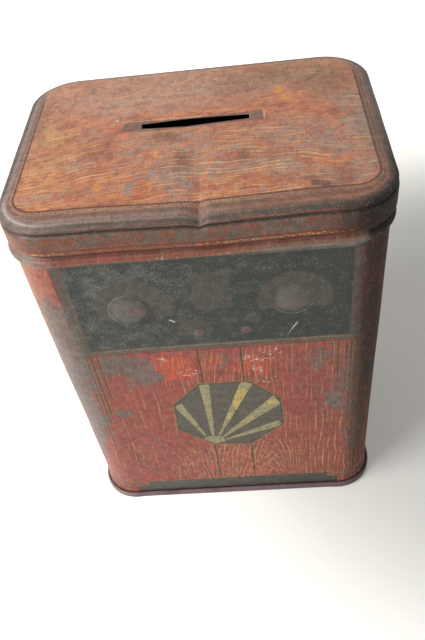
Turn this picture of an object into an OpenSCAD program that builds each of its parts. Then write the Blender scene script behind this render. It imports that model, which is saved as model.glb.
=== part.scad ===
// Tin money box dressed as a table wireless: a wrapped body, a seamed base and a slip lid.
// Millimetres, +Z up, +X to the right and -Y to the front. The origin is on the ground, at the
// centre of the foot. Every piece is one sheet of tinplate, drawn as a strip that follows a path
// in cross-section and then runs round the box.

/* [Box] */
// Width of the body across its flat sides
body_w = 110; // [96:1:130]
// Depth of the body from front to back
body_d = 80; // [66:1:100]
// Height of the whole box, from the foot to the top of the lid
box_h = 148; // [120:1:180]
// Outer radius of the body's upright corners
corner_r = 13.8; // [8:0.2:20]
// Thickness of the tinplate
tin_t = 0.3; // [0.24:0.02:0.36]

/* [Top edge and stop bead] */
// Diameter of the safe curl along the body's top edge
curl_d = 1.2; // [1.1:0.05:1.6]
// Distance from the top of the lid down to the crest of the stop bead
bead_drop = 13.2; // [13:0.1:20]
// How far the stop bead stands out of the wall
bead_out = 1.4; // [0.6:0.1:1.5]
// Height of the stop bead over its fillets
bead_h = 4; // [3.2:0.1:5]
// Fillet radius at the foot of the stop bead
bead_fillet = 0.9; // [0.5:0.05:1]

/* [Side seam] */
// Width of the folded lock seam down the back
seam_w = 5; // [4:0.5:8]
// Gap between the folded layers of the lock seam
seam_gap = 0.05; // [0.02:0.01:0.1]
// Run of the joggle that brings the inner sheet back out to the wall
seam_joggle = 1.2; // [0.8:0.1:2]

/* [Foot] */
// Height of the double seam that makes the foot
foot_h = 3; // [2.6:0.1:4]
// Gap between the folded layers of the foot
foot_gap = 0.1; // [0.04:0.01:0.12]
// Height of the base panel's underside above the ground
base_recess = 3.6; // [2.6:0.1:6]
// Bend radius where the base panel turns down, and along the bottom of the foot
base_bend = 0.6; // [0.45:0.05:1]

/* [Control knobs] */
// Radius of the two large embossed knobs
knob_r = 5.2; // [3:0.1:6]
// Height of the large knobs
knob_h = 0.9; // [0.4:0.1:1.2]
// Distance of the large knobs to either side of their middle
knob_span = 25; // [18:0.5:32]
// Height of the large knobs' centres above the ground
knob_z = 113; // [80:1:140]
// Radius of the two small embossed knobs
tuner_r = 2.2; // [1.4:0.1:2.8]
// Height of the small knobs
tuner_h = 0.5; // [0.3:0.1:0.7]
// Distance of the small knobs to either side of their middle
tuner_span = 7.5; // [4:0.5:10]
// Height of the small knobs' centres above the ground
tuner_z = 100.8; // [80:0.2:140]
// Distance of the large knobs' middle to the right of the body's centre
knob_shift = 1; // [-2:0.5:4]
// Distance of the small knobs' middle to the right of the body's centre
tuner_shift = 3.7; // [-4:0.1:8]

/* [Lid] */
// Depth of the lid, from its top to the curled edge of its skirt
lid_h = 9.8; // [9:0.1:11]
// Running gap between the lid's groove and the body's wall
lid_gap = 0.35; // [0.2:0.05:0.6]
// Gap left between the lid's underside and the body's top edge
seat_gap = 0.02; // [0.01:0.01:0.1]
// How far the roll round the lid's edge stands out past the body's wall
roll_out = 1.3; // [1.2:0.05:1.6]
// Outer radius of the roll
roll_r = 1.4; // [1.3:0.1:2]
// Radius of the groove under the roll, on the middle of the sheet
groove_r = 0.45; // [0.3:0.05:0.5]
// How far the skirt stands out past the body's wall
skirt_out = 1.6; // [1.55:0.05:2]
// Radius of the shoulder between the groove and the skirt, on the middle of the sheet
shoulder_r = 0.8; // [0.5:0.05:1]
// Slope of the sheet between the groove and the shoulder, in degrees below level
shoulder_slope = 30; // [20:1:40]

/* [Coin slot] */
// Length of the coin slot
slot_l = 33.6; // [28:0.2:40]
// Width of the slot at its ends
slot_w = 2.2; // [1.8:0.1:3]
// Extra opening of each long edge at the middle, where use has spread it
slot_spread = 0.9; // [0:0.1:1.4]
// Distance of the slot behind the lid's centre
slot_back = 6; // [-10:0.5:20]

/* [Hidden] */
$fn = 96;
bend_steps = 8;
slot_steps = 12;
half_t = tin_t / 2;
over = 1;
same_point = 0.001;

// The body: heights of its top edge and bead, and of the side seam, which stops short of both.
body_top = box_h - tin_t - seat_gap;
bead_z = box_h - bead_drop;
curl_r = curl_d / 2;
seam_end_gap = 0.4;
seam_low = max(foot_h, base_recess + tin_t) + seam_end_gap;
seam_high = bead_z - bead_h / 2 - seam_end_gap;

// The knobs: centre across, centre up, foot radius and height of each.
knobs = [for (side = [-1, 1])
    each [[knob_shift + side * knob_span, knob_z, knob_r, knob_h],
          [tuner_shift + side * tuner_span, tuner_z, tuner_r, tuner_h]]];

// The foot: distances out from the wall to the middle of each folded layer.
end_hook_x = foot_gap + half_t;
body_hook_x = end_hook_x + tin_t + foot_gap;
foot_skin_x = body_hook_x + tin_t + foot_gap;
hook_r = (body_hook_x + half_t) / 2;
hook_low_z = tin_t + foot_gap + hook_r + half_t;
hook_high_z = foot_h - hook_r - half_t;

// The lid: centre of the roll, and the angle at which the groove takes over from it.
lid_low = box_h - lid_h;
roll_mid_r = roll_r - half_t;
roll_c = [roll_out - roll_r, box_h - roll_r];
groove_at = -acos((lid_gap + half_t + groove_r - roll_c.x) / (roll_mid_r + groove_r));

// Points along an arc of centre c and radius r, from angle a to angle b.
function bend(c, r, a, b) =
    [for (i = [0 : bend_steps])
        let (angle = a + (b - a) * i / bend_steps)
        c + r * [cos(angle), sin(angle)]];

function unit(v) = v / norm(v);

// Joins stretches of a path, leaving out a point that repeats the one before it.
function joined(path) =
    [for (i = [0 : len(path) - 1])
        if (i == 0 || norm(path[i] - path[max(i, 1) - 1]) > same_point)
            path[i]];

// Direction of the path at point i, halfway between its two neighbouring stretches.
function heading(path, i) =
    let (last = len(path) - 1)
    let (before = unit(path[max(i, 1)] - path[max(i, 1) - 1]))
    let (after = unit(path[min(i, last - 1) + 1] - path[min(i, last - 1)]))
    unit(before + after);

// Half the sheet's thickness at point i, lengthened at a bend so that the strip keeps its width.
function reach(path, i) =
    let (last = len(path) - 1)
    let (after = unit(path[min(i, last - 1) + 1] - path[min(i, last - 1)]))
    half_t / (heading(path, i) * after);

// One long edge of the strip: side 1 is to the left of the path and side -1 to its right.
function edge(path, side) =
    [for (i = [0 : len(path) - 1])
        let (h = heading(path, i))
        path[i] + side * reach(path, i) * [-h.y, h.x]];

// A sheet of tinplate seen edge on, along the middle of its thickness.
module strip(stretches) {
    path = joined(stretches);
    right = edge(path, -1);
    polygon(concat(edge(path, 1), [for (i = [len(path) - 1 : -1 : 0]) right[i]]));
}

// Runs a cross-section round the box: x is the distance out from the body's wall, y is height.
module around() {
    for (side = [0 : 3]) {
        half_out = (side % 2 == 0 ? body_w : body_d) / 2;
        half_run = (side % 2 == 0 ? body_d : body_w) / 2 - corner_r;
        rotate([0, 0, 90 * side]) {
            translate([half_out, half_run, 0])
                rotate([90, 0, 0])
                    linear_extrude(2 * half_run)
                        children();
            translate([half_out - corner_r, half_run, 0])
                rotate_extrude(angle = 90)
                    translate([corner_r, 0])
                        children();
        }
    }
}

// The flat sheet inside the ring of corner centres, from height z up.
module middle_sheet(z) {
    translate([corner_r - body_w / 2, corner_r - body_d / 2, z])
        cube([body_w - 2 * corner_r, body_d - 2 * corner_r, tin_t]);
}

// The stop bead, from one fillet over its crest to the other.
function bead_path() =
    let (reach_r = (bead_out * bead_out + bead_h * bead_h / 4) / (2 * bead_out))
    let (crest_r = reach_r - bead_fillet)
    let (turn = asin(bead_h / 2 / reach_r))
    let (crest_c = [bead_out - half_t - crest_r, bead_z])
    let (foot_x = bead_fillet - half_t)
    concat(
        bend([foot_x, bead_z - bead_h / 2], bead_fillet, 180, 180 - turn),
        bend(crest_c, crest_r, -turn, turn),
        bend([foot_x, bead_z + bead_h / 2], bead_fillet, 180 + turn, 180));

// The body's wall from the hook in the foot up to the curl along its top edge.
function wall_path() =
    concat(
        [[body_hook_x, hook_high_z]],
        bend([body_hook_x - hook_r, hook_low_z], hook_r, 0, -180),
        bead_path(),
        bend([-curl_r, body_top - curl_r], curl_r - half_t, 0, 270));

// The sheet whose hook shows outside: along the wall, round its end and back inside.
function outer_hook_path(layer) =
    concat(
        [[seam_w / 2, half_t]],
        bend([layer - seam_w / 2, half_t + layer], layer, -90, -270),
        [[seam_w / 2 - 2 * layer, half_t + 2 * layer]]);

// The sheet that comes in under it: along the wall, joggled inwards, along again, and back
// between the other's layers.
function inner_hook_path(layer) =
    let (joggle_x = -seam_w / 2 - layer)
    concat(
        [[joggle_x - seam_joggle - tin_t, half_t],
         [joggle_x - seam_joggle, half_t],
         [joggle_x, half_t + 3 * layer]],
        bend([seam_w / 2 - layer, half_t + 2 * layer], layer, 90, -90),
        [[2 * layer - seam_w / 2, half_t + layer]]);

// The opening in the back wall that the lock seam fills.
module seam_opening() {
    left = seam_w / 2 + seam_joggle + tin_t + seam_gap;
    translate([-left, body_d / 2 - tin_t - over, seam_low])
        cube([left + seam_w / 2, tin_t + 2 * over, seam_high - seam_low]);
}

module lock_seam() {
    layer = tin_t + seam_gap;
    translate([0, body_d / 2, seam_low])
        linear_extrude(seam_high - seam_low)
            mirror([0, 1]) {
                strip(outer_hook_path(layer));
                strip(inner_hook_path(layer));
            }
}

// Radius of the ball whose cap has foot radius r and height h.
function ball_r(r, h) = (r * r + h * h) / (2 * h);

// The cap of a knob's ball, cut off at a depth behind the wall's outer face. The inset makes the
// ball smaller all round: none for the outside of the knob, the sheet's thickness for its hollow.
module knob_ball(knob, inset, depth) {
    r = knob[2];
    h = knob[3];
    margin = r + over;
    translate([knob[0], -body_d / 2, knob[1]])
        intersection() {
            translate([0, ball_r(r, h) - h, 0])
                sphere(ball_r(r, h) - inset);
            translate([-margin, -h - over, -margin])
                cube([2 * margin, h + over + depth, 2 * margin]);
        }
}

// One printed sheet wrapped round into the four walls, hooked together down the back.
module body_wrap() {
    color([0.56, 0.2, 0.15])
        difference() {
            union() {
                difference() {
                    around()
                        strip(wall_path());
                    seam_opening();
                }
                lock_seam();
                for (knob = knobs)
                    knob_ball(knob, 0, half_t);
            }
            for (knob = knobs)
                knob_ball(knob, tin_t, tin_t + over);
        }
}

// The base's edge: panel, wall down inside the body, foot, and the hook over the body's hook.
function base_path() =
    let (wall_x = -tin_t - half_t)
    let (panel_z = base_recess + half_t)
    concat(
        [[-corner_r, panel_z]],
        bend([wall_x - base_bend, panel_z - base_bend], base_bend, 90, 0),
        bend([wall_x + base_bend, half_t + base_bend], base_bend, 180, 270),
        bend([foot_skin_x - base_bend, half_t + base_bend], base_bend, -90, 0),
        bend([foot_skin_x - hook_r, hook_high_z], hook_r, 0, 180),
        [[end_hook_x, hook_low_z]]);

// The base panel, seamed to the body, whose folded edge is the foot.
module base_pan() {
    color([0.24, 0.2, 0.2]) {
        around()
            strip(base_path());
        middle_sheet(base_recess);
    }
}

// The lid's edge: top, roll, groove, skirt and the curl along the skirt's edge.
function lid_path() =
    let (groove_c = roll_c + (roll_mid_r + groove_r) * [cos(groove_at), sin(groove_at)])
    let (groove_end = groove_c - groove_r * [sin(shoulder_slope), cos(shoulder_slope)])
    let (shoulder_x = skirt_out - half_t - shoulder_r)
    let (slope_run = shoulder_x + shoulder_r * sin(shoulder_slope) - groove_end.x)
    let (slope_end_z = groove_end.y - slope_run * tan(shoulder_slope))
    let (shoulder_c = [shoulder_x, slope_end_z - shoulder_r * cos(shoulder_slope)])
    concat(
        [[-corner_r, box_h - half_t]],
        bend(roll_c, roll_mid_r, 90, groove_at),
        bend(groove_c, groove_r, 180 + groove_at, 270 - shoulder_slope),
        bend(shoulder_c, shoulder_r, 90 - shoulder_slope, 0),
        bend([skirt_out - curl_r, lid_low + curl_r], curl_r - half_t, 0, -270));

// The slot's outline, wider at the middle than at its ends.
function slot_edge(side) =
    [for (i = [0 : slot_steps])
        let (u = 2 * i / slot_steps - 1)
        side * [u * slot_l / 2, slot_w / 2 + slot_spread * (1 - u * u)]];

// The slip lid, drawn from one sheet, with the coin slot pierced through its top.
module lid() {
    color([0.62, 0.34, 0.23])
        difference() {
            union() {
                around()
                    strip(lid_path());
                middle_sheet(box_h - tin_t);
            }
            translate([0, slot_back, box_h - tin_t - over])
                linear_extrude(tin_t + 2 * over)
                    polygon(concat(slot_edge(1), slot_edge(-1)));
        }
}

body_wrap();
base_pan();
lid();
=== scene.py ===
"""Looks of a tin money box dressed as a table wireless: battered sheet metal with a worn print.

Lengths are millimetres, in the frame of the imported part, and become metres when a mesh is made:
+Z is up, -Y to the front, +X to the right. Each piece is one sheet of tinplate. Its cross-section
follows the part's own, and runs round the box; dents and bows are moved into it after that.
"""
import math

import bmesh
import bpy
import numpy as np
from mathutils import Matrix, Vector


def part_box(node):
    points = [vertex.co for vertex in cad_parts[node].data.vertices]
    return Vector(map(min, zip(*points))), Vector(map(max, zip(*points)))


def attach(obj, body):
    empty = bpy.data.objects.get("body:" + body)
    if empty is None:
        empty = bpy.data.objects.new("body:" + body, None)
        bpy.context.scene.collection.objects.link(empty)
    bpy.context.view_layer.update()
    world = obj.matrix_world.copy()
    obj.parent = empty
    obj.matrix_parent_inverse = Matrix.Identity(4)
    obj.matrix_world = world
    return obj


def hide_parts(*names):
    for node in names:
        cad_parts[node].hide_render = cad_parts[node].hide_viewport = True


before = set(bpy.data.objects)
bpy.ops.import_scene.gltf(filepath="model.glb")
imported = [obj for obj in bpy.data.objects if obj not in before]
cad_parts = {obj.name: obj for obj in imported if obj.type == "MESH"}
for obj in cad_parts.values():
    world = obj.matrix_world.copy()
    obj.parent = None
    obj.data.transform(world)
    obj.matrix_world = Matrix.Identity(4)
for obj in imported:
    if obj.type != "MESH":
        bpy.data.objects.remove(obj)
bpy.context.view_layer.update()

MM = 0.001


def box_of(node):
    """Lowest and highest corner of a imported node, in millimetres."""
    low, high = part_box(node)
    return np.array(low) / MM, np.array(high) / MM


LID_LOW, LID_HIGH = box_of("lid")
BODY_TOP = box_of("body_wrap")[1][2]

# Sheet and walls
TIN = 0.3
HALF_TIN = TIN / 2
CORNER_R = 13.8
SKIRT_OUT = 1.6
HALF_W = LID_HIGH[0] - SKIRT_OUT
HALF_D = LID_HIGH[1] - SKIRT_OUT
BOX_H = LID_HIGH[2]

# Lid
SKIRT_LOW = LID_LOW[2]
ROLL_OUT = 1.3
ROLL_R = 1.4
GROOVE_R = 0.45
LID_GAP = 0.35
SHOULDER_R = 0.8
SHOULDER_SLOPE = 30
CURL_R = 0.6
SLOT_L = 33.6
SLOT_W = 2.2
SLOT_BACK = 6
LIPS_BACK = 0.35
LIP_GAPE = 0.2
LIP_PRESS = 0.5
FAR_LIP, NEAR_LIP = 1.2, 0.8

# Body
BEAD_Z = BOX_H - 13.2
BEAD_OUT = 1.4
BEAD_H = 4
BEAD_FILLET = 0.9
KNOBS = [(-24, 113, 5.2, 0.9), (26, 113, 5.2, 0.9), (-3.8, 100.8, 2.2, 0.5), (11.2, 100.8, 2.2, 0.5)]
KNOBS_LOW, KNOBS_HIGH = 97, 120
SEAM_LAYER = 0.35
SEAM_HALF_W = 2.65
SEAM_JOGGLE = 1.2
SEAM_LOW, SEAM_HIGH = 4.3, 132.2

# Foot
FOOT_H = 3
FOOT_GAP = 0.1
BASE_RECESS = 3.6
BASE_BEND = 0.6
BASE_RINGS = 28
END_HOOK_OUT = FOOT_GAP + HALF_TIN
BODY_HOOK_OUT = END_HOOK_OUT + TIN + FOOT_GAP
FOOT_SKIN_OUT = BODY_HOOK_OUT + TIN + FOOT_GAP
HOOK_R = (BODY_HOOK_OUT + HALF_TIN) / 2
HOOK_LOW = TIN + FOOT_GAP + HOOK_R + HALF_TIN
HOOK_HIGH = FOOT_H - HOOK_R - HALF_TIN

# The flats of the walls and one lap round them
FLAT_X = HALF_W - CORNER_R
FLAT_Y = HALF_D - CORNER_R
QUARTER = CORNER_R * math.pi / 2
LAP = 4 * (FLAT_X + FLAT_Y + QUARTER)

# Wear of the lid: the rubbed rim of the top, and the blow on the front edge
RUB_DEPTH = 0.62
DENT_X = 1.6
KINK_HALF_W = 30
CREASE_DEPTH = 0.5
NOTCH_DEPTH, NOTCH_PUSH = 1.5, 0.5

# Bows of the walls between foot and lid: run of the middle, distance to the end, and depth
BOWS = [(-89, 40, 0.3), (89, 40, -0.45), (2, 45, -0.25), (178, 60, 0.3)]
WALL_TOP = BOX_H - 11
SPREAD_LEFT, SPREAD_RIGHT = 0.75, 0.28
FLARE = 0.8

# Waves of the flat sheets
TOP_WAVE, TOP_SAG, BASE_WAVE, BASE_SAG, WALL_WAVE = 0.16, 0.3, 0.18, 0.2, 0.1


def smooth(t):
    """0 up to 0, 1 from 1 on, and an even S between them."""
    t = np.clip(t, 0, 1)
    return t * t * (3 - 2 * t)


def onset(value, start, reach):
    """0 up to the start, and rising from there to 1 over the reach."""
    return smooth((value - start) / reach)


def bump(x, centre, width):
    """1 at the centre, fading to 0 at the width to either side of it."""
    return smooth(1 - np.abs(x - centre) / width)


def tent(x, centre, left, right):
    """1 at the centre, falling straight to 0 at the distances left and right of it."""
    return np.clip(1 - np.abs(x - centre) / np.where(x < centre, left, right), 0, 1)


def ripple(a, b):
    """Low waves over a sheet, from -1 to 1."""
    waves = np.sin(a / 9 + b / 23 + 1) + 0.7 * np.sin(b / 8 - a / 17 + 2)
    return (waves + 0.5 * np.sin(a / 5.3 + b / 6.1)) / 2.2


def graded(*spans):
    """Values from the first span's start to the last one's end; a span is (start, end, step)."""
    parts = [np.linspace(a, b, max(1, round((b - a) / step)), endpoint=False) for a, b, step in spans]
    return np.append(np.concatenate(parts), spans[-1][1])


def arc(centre, radius, start, end, steps=10):
    """Points along an arc, with its angles in degrees."""
    angle = np.radians(np.linspace(start, end, steps + 1))
    return np.stack([centre[0] + radius * np.cos(angle), centre[1] + radius * np.sin(angle)], 1)


def joined(*stretches):
    """One path from several stretches, without points that repeat the one before."""
    path = np.concatenate([np.atleast_2d(s).astype(float) for s in stretches])
    apart = np.linalg.norm(np.diff(path, axis=0), axis=1) > 0.001
    return path[np.append(True, apart)]


def refined(path, spacing):
    """The path with its long straights divided; spacing gives the longest step at a point."""
    parts = []
    for a, b in zip(path[:-1], path[1:]):
        count = max(1, math.ceil(np.linalg.norm(b - a) / spacing((a + b) / 2)))
        parts.append(a + (b - a) * np.linspace(0, 1, count, endpoint=False)[:, None])
    return np.concatenate(parts + [path[-1:]])


def faces_of(path):
    """The two faces of a sheet whose middle follows the path: left of it and right of it."""
    step = np.diff(path, axis=0)
    step /= np.linalg.norm(step, axis=1, keepdims=True)
    before, after = np.vstack([step[:1], step]), np.vstack([step, step[-1:]])
    heading = (before + after) / np.linalg.norm(before + after, axis=1, keepdims=True)
    reach = HALF_TIN / (heading * after).sum(1)
    side = np.stack([-heading[:, 1], heading[:, 0]], 1) * reach[:, None]
    return path + side, path - side


def with_third(pairs, third):
    """Pairs of numbers, each with a third one added."""
    return np.concatenate([pairs, third[..., None]], -1)


def closed_round(values):
    """Values at the stations, with the first station's again at the end."""
    return np.concatenate([values, values[:, :1]], 1)


def length_along(path):
    """Distance from the start of the path to each of its points."""
    return np.append(0, np.cumsum(np.linalg.norm(np.diff(path, axis=0), axis=1)))


def wall_at(run):
    """Places on the body's wall line and the outward directions there. The run is the distance
    round the wall, anticlockwise from above, and is 0 at the middle of the front."""
    lengths = [0, FLAT_X, QUARTER, 2 * FLAT_Y, QUARTER, 2 * FLAT_X, QUARTER, 2 * FLAT_Y, QUARTER, FLAT_X]
    run, knots = np.asarray(run, float) % LAP, np.cumsum(lengths)
    angle = np.radians(np.interp(run, knots, [-90, -90, 0, 0, 90, 90, 180, 180, 270, 270]))
    centre_x = FLAT_X * np.interp(run, knots, [0, 1, 1, 1, 1, -1, -1, -1, -1, 0])
    centre_y = FLAT_Y * np.interp(run, knots, [-1, -1, -1, 1, 1, 1, 1, -1, -1, -1])
    out = np.stack([np.cos(angle), np.sin(angle)], 1)
    return np.stack([centre_x, centre_y], 1) + CORNER_R * out, out


def rounded_out(x, y):
    """Distance of a place on the top outside the body's wall line, negative inside it."""
    a = np.abs(x) - FLAT_X
    b = np.abs(y) - FLAT_Y
    return np.hypot(np.maximum(a, 0), np.maximum(b, 0)) + np.minimum(np.maximum(a, b), 0) - CORNER_R


def settled(points, out):
    """Moves points as use did, the lid and the body under it alike. The rim of the top is rubbed
    down towards its roll, and a blow on the front edge has pushed a kink and a notch into it."""
    x, y, z = points[..., 0], points[..., 1], points[..., 2]
    rubbed = RUB_DEPTH * onset(out, -4.3, 4.4) * onset(z, BOX_H - 2.3, 2.2)
    high = onset(z, BOX_H - 9, 7.5)
    kink = tent(x, DENT_X, KINK_HALF_W, KINK_HALF_W) * onset(z, BOX_H - 20, 12) * (0.55 + 0.35 * high)
    crease = CREASE_DEPTH * tent(x, DENT_X, 3.5, 2.5) ** 1.2 * high * onset(-y, 6, 26)
    crushed = onset(z, BOX_H - 2.6, 2.2)
    notch = tent(x, DENT_X, 5.5, 3.2) ** 1.3 * crushed * onset(-y, 33, 6)
    down = rubbed + kink * onset(-y, 8, 30) + crease + NOTCH_DEPTH * notch
    return points + np.stack([0 * x, NOTCH_PUSH * notch, -down], -1)


def turned(section, place, outward):
    """Points of a section, as distance out and height, at every station round the wall."""
    flat = place[None] + section[:, :1, None] * outward[None]
    return np.concatenate([flat, np.broadcast_to(section[:, 1:, None], flat.shape[:2] + (1,))], -1)


def quads_of(rings, stations, closed):
    """Corners of the quads between rings of stations, as indices into the points and into marks
    that have one station more, where the last is the first again at the print's other end."""
    ring = np.arange(rings if closed else rings - 1)[:, None]
    station = np.arange(stations)[None]
    up, on, wide = (ring + 1) % rings, (station + 1) % stations, stations + 1
    corners = (
        (ring, station, station), (ring, on, station + 1), (up, on, station + 1), (up, station, station),
    )
    of_point = [row * stations + point for row, point, mark in corners]
    of_mark = [row * wide + mark for row, point, mark in corners]
    return np.stack(of_point, -1).reshape(-1, 4), np.stack(of_mark, -1).reshape(-1, 4)


def added(name, data):
    """A new object in the scene."""
    piece = bpy.data.objects.new(name, data)
    bpy.context.scene.collection.objects.link(piece)
    return piece


def sheet_piece(name, points, marks, material, closed=True):
    """A piece from points in rings of stations. Marks are vectors kept at each quad's corners. An
    open section starts and ends where opposite stations meet, and is sewn up there."""
    quads, corners = quads_of(*points.shape[:2], closed)
    points = points.reshape(-1, 3)
    a, b, c, d = (points[quads[:, k]] for k in range(4))
    if (np.cross(c - a, d - b) * (a + b + c + d)).sum() < 0:
        quads, corners = quads[:, ::-1], corners[:, ::-1]
    mesh = bpy.data.meshes.new(name)
    mesh.from_pydata((points * MM).tolist(), [], quads.tolist())
    for key, value in marks.items():
        layer = mesh.attributes.new(key, "FLOAT_VECTOR", "CORNER")
        layer.data.foreach_set("vector", value.reshape(-1, 3)[corners].reshape(-1).astype(np.float32))
    if not closed:
        sewn = bmesh.new()
        sewn.from_mesh(mesh)
        bmesh.ops.remove_doubles(sewn, verts=sewn.verts, dist=0.001 * MM)
        sewn.to_mesh(mesh)
        sewn.free()
    mesh.shade_smooth()
    mesh.materials.append(material)
    return added(name, mesh)


def laid_out(piece, body, node):
    """Says which body a piece rides on, and hides the node it replaces."""
    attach(piece, body)
    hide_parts(node)


# Runs at which the straight walls and the corners end, from the middle of the front
FRONT_END = FLAT_X
SIDE_START = FRONT_END + QUARTER
SIDE_END = SIDE_START + 2 * FLAT_Y
BACK_START = SIDE_END + QUARTER
HALF_LAP = LAP / 2
MID_CORNER = FRONT_END + QUARTER / 2
PRINT_END = 2.68
CORNER_STEP = 1.1


def right_spans(step):
    """Spans round the right side and its corners, with the step along the side."""
    front_corner, back_corner = (FRONT_END, SIDE_START, CORNER_STEP), (SIDE_END, BACK_START, CORNER_STEP)
    return [front_corner, (SIDE_START, SIDE_END, step), back_corner]


def mirrored(spans):
    """The same spans on the left, in the order in which runs go."""
    return [(-end, -start, step) for start, end, step in reversed(spans)]


def lid_stations():
    """Runs round the wall from the middle of the back, close together at the dent in the front."""
    right = right_spans(1.6) + [(BACK_START, HALF_LAP, 1.8)]
    return graded(*mirrored(right), (-FRONT_END, -6, 0.9), (-6, 9, 0.4), (9, FRONT_END, 0.9), *right)


def body_stations():
    """Runs round the wall from one end of the sheet to the other, close together at the knobs and
    at the seam."""
    right = right_spans(2)
    return graded(
        (PRINT_END - HALF_LAP, 4.3 - HALF_LAP, 0.2), (4.3 - HALF_LAP, -BACK_START, 2.2),
        *mirrored(right), (-FRONT_END, -32, 1.2), (-32, 34.6, 0.6), (34.6, FRONT_END, 1.2), *right,
        (BACK_START, HALF_LAP - 3.2, 2.2), (HALF_LAP - 3.2, HALF_LAP - 2.2, 0.15),
        (HALF_LAP - 2.2, HALF_LAP + 2.1, 1), (HALF_LAP + 2.1, HALF_LAP + PRINT_END, 0.08),
    )


def base_stations():
    """Runs round the wall that lie opposite one another from left to right and front to back."""
    quarter = graded((0, FRONT_END, 1.6), (FRONT_END, SIDE_START, 1.1), (SIDE_START, LAP / 4, 1.6))
    half = np.append(quarter, HALF_LAP - quarter[-2::-1])
    return np.append(half, LAP - half[-2::-1])


def slot_at(run):
    """Points of the slot's edge, one for each station of the lid, and how far the lips are bent
    there: both are pushed back a little, and they gape in the middle."""
    half_l = SLOT_L / 2
    knots = [-HALF_LAP, MID_CORNER - HALF_LAP, -MID_CORNER, MID_CORNER, HALF_LAP - MID_CORNER, HALF_LAP]
    x = np.interp(run, knots, [0, -half_l, -half_l, half_l, half_l, 0])
    side = np.interp(run, knots, [1, 1, -1, -1, 1, 1])
    gape = tent(x, -2.5, half_l - 2, half_l + 2) ** 0.8
    bent = LIPS_BACK + gape * (FAR_LIP * np.maximum(side, 0) + NEAR_LIP * np.minimum(side, 0))
    return np.stack([x, SLOT_BACK + side * (SLOT_W / 2 + LIP_GAPE) + bent], 1), gape


def lid_section():
    """Middle of the lid's sheet from the start of its roll down to the curl inside its skirt."""
    roll_mid_r = ROLL_R - HALF_TIN
    roll_c = np.array([ROLL_OUT - ROLL_R, BOX_H - ROLL_R])
    groove_at = -math.acos((LID_GAP + HALF_TIN + GROOVE_R - roll_c[0]) / (roll_mid_r + GROOVE_R))
    groove_c = roll_c + (roll_mid_r + GROOVE_R) * np.array([math.cos(groove_at), math.sin(groove_at)])
    slope = math.radians(SHOULDER_SLOPE)
    groove_end = groove_c - GROOVE_R * np.array([math.sin(slope), math.cos(slope)])
    shoulder_out = SKIRT_OUT - HALF_TIN - SHOULDER_R
    slope_run = shoulder_out + SHOULDER_R * math.sin(slope) - groove_end[0]
    slope_end = groove_end[1] - slope_run * math.tan(slope)
    shoulder_c = [shoulder_out, slope_end - SHOULDER_R * math.cos(slope)]
    groove_at = math.degrees(groove_at)
    path = joined(
        arc(roll_c, roll_mid_r, 90, groove_at, 18),
        arc(groove_c, GROOVE_R, 180 + groove_at, 270 - SHOULDER_SLOPE, 8),
        arc(shoulder_c, SHOULDER_R, 90 - SHOULDER_SLOPE, 0, 6),
        arc([SKIRT_OUT - CURL_R, SKIRT_LOW + CURL_R], CURL_R - HALF_TIN, 0, -270),
    )
    return refined(path, lambda place: 0.8)


def make_lid(material):
    """The lid's sheet: the top with its slot, and the roll, the groove and the skirt round it."""
    run = lid_stations()
    place, outward = wall_at(run[:-1])
    hem, gape = slot_at(run[:-1])
    section = lid_section()
    outer, inner = faces_of(section)
    roll_start = outer[0, 0]
    rim = place + roll_start * outward

    share = graded((0, 0.06, 0.012), (0.06, 1, 0.027))[:-1, None, None]
    flat = hem[None] * (1 - share) + rim[None] * share
    flat_out = rounded_out(flat[..., 0], flat[..., 1])
    calm = 1 - onset(flat_out, -9, 8)
    pressed = LIP_PRESS * (0.3 + 0.7 * gape)[None] * (1 - smooth(share[..., 0] / 0.1))
    sag = TOP_SAG * (1 - (flat[..., 0] / HALF_W) ** 2) * (1 - (flat[..., 1] / HALF_D) ** 2)
    wave = calm * (TOP_WAVE * ripple(flat[..., 0], flat[..., 1]) - sag) - pressed

    def skin(faces, level, inside):
        along = length_along(faces)[:, None]
        wobble = 0.1 * np.sin(run[:-1] / 7 + 1) + 0.06 * np.sin(run[:-1] / 2.9)
        side = turned(faces, place, outward)
        side[..., :2] += (smooth(along / 4) * wobble)[..., None] * outward[None]
        out = np.concatenate([flat_out, np.broadcast_to(faces[:, :1], side.shape[:2])])
        points = settled(np.concatenate([with_third(flat, level + wave), side]), out)
        print_place = np.concatenate([flat, rim[None] + along[..., None] * outward[None]])
        wall_place = np.concatenate([flat, np.broadcast_to(rim[None], side.shape[:2] + (2,))])
        edge = np.concatenate([flat_out, np.broadcast_to(roll_start + along, side.shape[:2])])
        return points, with_third(print_place, edge), with_third(wall_place, np.full(edge.shape, inside))

    shown, hidden = skin(outer, BOX_H, 0.0), skin(inner, BOX_H - TIN, 1.0)
    points, print_mark, place_mark = (np.concatenate([a, b[::-1]]) for a, b in zip(shown, hidden))
    marks = {"print": closed_round(print_mark), "place": closed_round(place_mark)}
    return sheet_piece("lid_shell", points, marks, material)


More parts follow.
